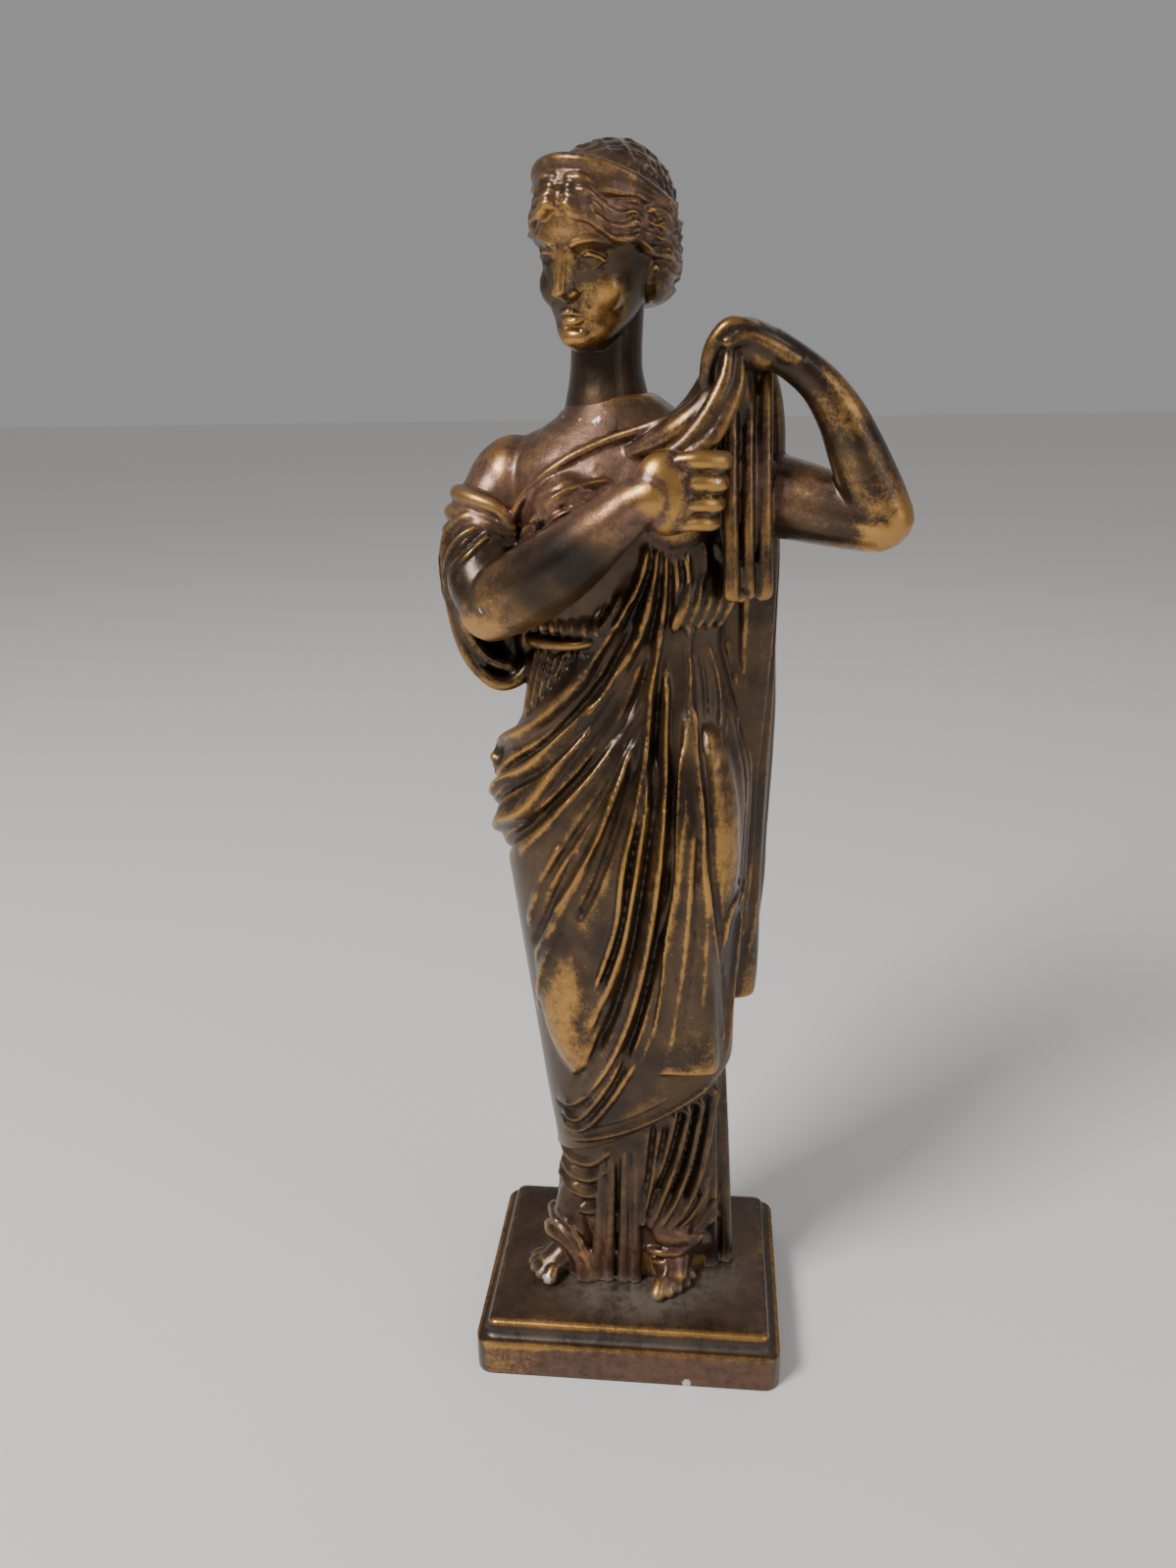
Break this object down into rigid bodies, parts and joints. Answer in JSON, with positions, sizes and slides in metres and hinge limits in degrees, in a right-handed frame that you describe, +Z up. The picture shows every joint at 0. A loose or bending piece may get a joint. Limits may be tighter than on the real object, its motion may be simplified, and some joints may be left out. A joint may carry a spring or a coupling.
{
  "type": "woman statue",
  "caption": "Standing robed woman who draws a cloak to her shoulder with both hands, on a stepped rectangular plinth.",
  "frame": {"origin": "centre of the plinth's flat underside, on the surface it stands on", "axes": "+Z up, the long way of the statue; the plinth's front and the figure face -Y; +X to the viewer's right, the side of the raised arm"},
  "size_m": [0.1262, 0.0789, 0.3582],
  "materials": {
    "figure_bronze": "dark brown patina, semi-gloss, rubbed gold on the ridges",
    "plinth_bronze": "dark brown patina, semi-gloss, rubbed gold on the edges"
  },
  "bodies": {
    "root": {"figure": "figure_bronze", "plinth": "plinth_bronze"}
  },
  "joints": []
}
